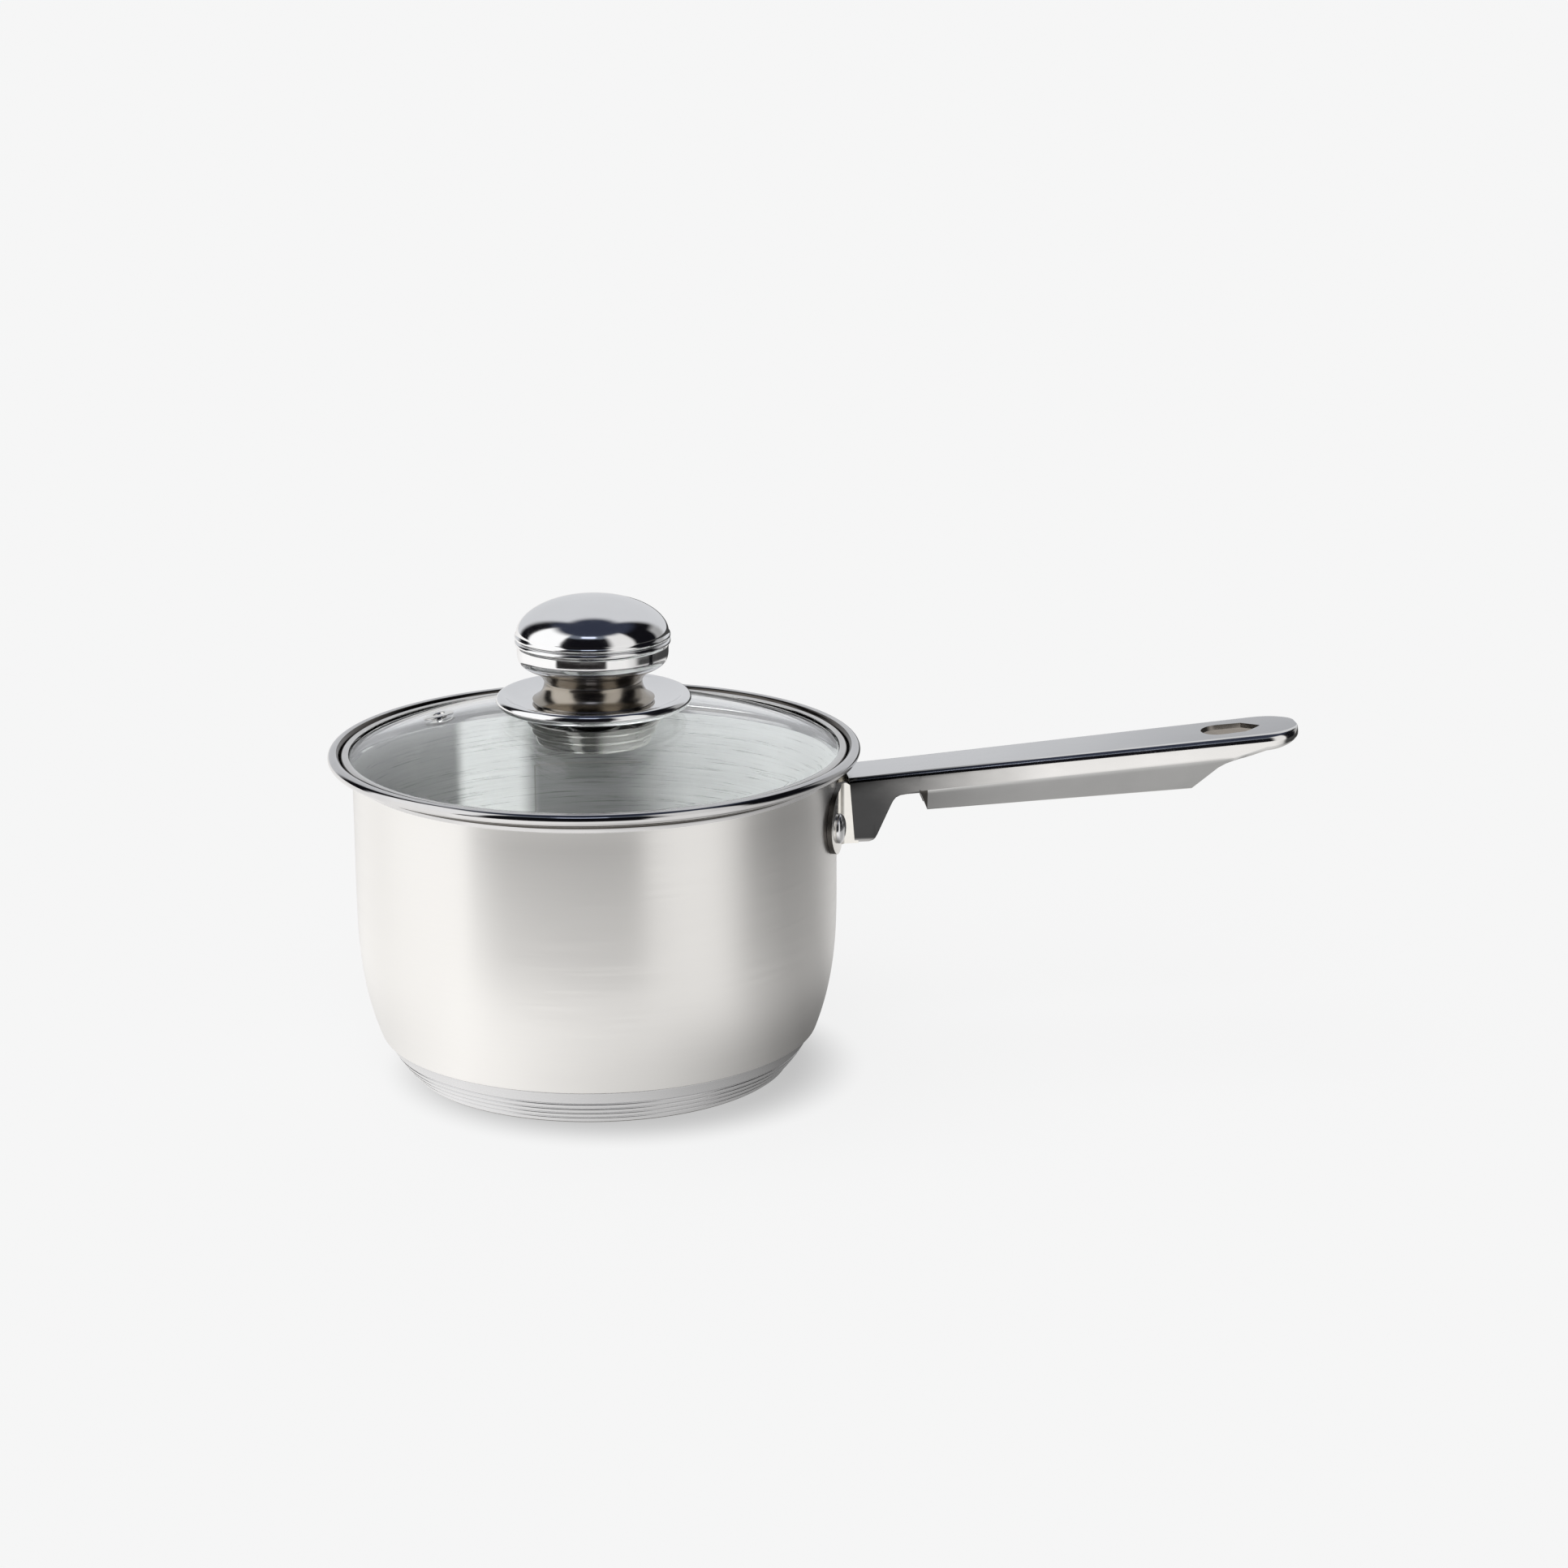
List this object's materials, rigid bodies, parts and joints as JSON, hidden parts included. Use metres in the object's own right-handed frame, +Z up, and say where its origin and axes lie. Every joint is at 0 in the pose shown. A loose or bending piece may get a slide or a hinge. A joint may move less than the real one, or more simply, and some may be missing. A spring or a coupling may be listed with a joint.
{
  "type": "saucepan with glass lid",
  "caption": "Stainless steel saucepan with rolled rim, encapsulated base, folded sheet handle and a domed glass lid with a steel knob.",
  "frame": {"origin": "centre of the base's underside", "axes": "+X along the handle, away from the pan; +Z up, out of the pan's mouth"},
  "size_m": [0.3105, 0.1682, 0.1528],
  "materials": {
    "pan_steel": "satin",
    "base_steel": "turned",
    "core_aluminium": "matt",
    "handle_steel": "satin and polished",
    "rivet_steel": "polished",
    "lid_glass": "clear, tempered",
    "band_steel": "polished",
    "eyelet_steel": "polished",
    "silicone": "matt",
    "under_steel": "pressed",
    "fastener_steel": "plated",
    "knob_chrome": "mirror polish",
    "cap_chrome": "mirror polish with a satin crown"
  },
  "bodies": {
    "pan": {"pan_body": "pan_steel", "base_core": "core_aluminium", "base_cap": "base_steel", "handle": "handle_steel", "rivet_front": "rivet_steel", "rivet_rear": "rivet_steel"},
    "lid": {"lid_glass": "lid_glass", "lid_band": "band_steel", "vent_eyelet": "eyelet_steel", "upper_gasket": "silicone", "lower_gasket": "silicone", "under_lid_cup": "under_steel", "spring_washer": "fastener_steel", "knob_screw": "fastener_steel"},
    "knob": {"knob_foot": "knob_chrome", "knob_neck": "knob_chrome", "knob_cup": "knob_chrome", "knob_cap": "cap_chrome", "cross_plate": "fastener_steel", "threaded_boss": "fastener_steel"}
  },
  "joints": [
    {"name": "lid_lift", "type": "slide", "parent": "pan", "child": "lid", "axis": [0, 0, 1], "range_m": [0, 0.12]},
    {"name": "knob_turn", "type": "hinge", "parent": "lid", "child": "knob", "pos_m": [0, 0, 0.13], "axis": [0, 0, 1], "continuous": true}
  ]
}
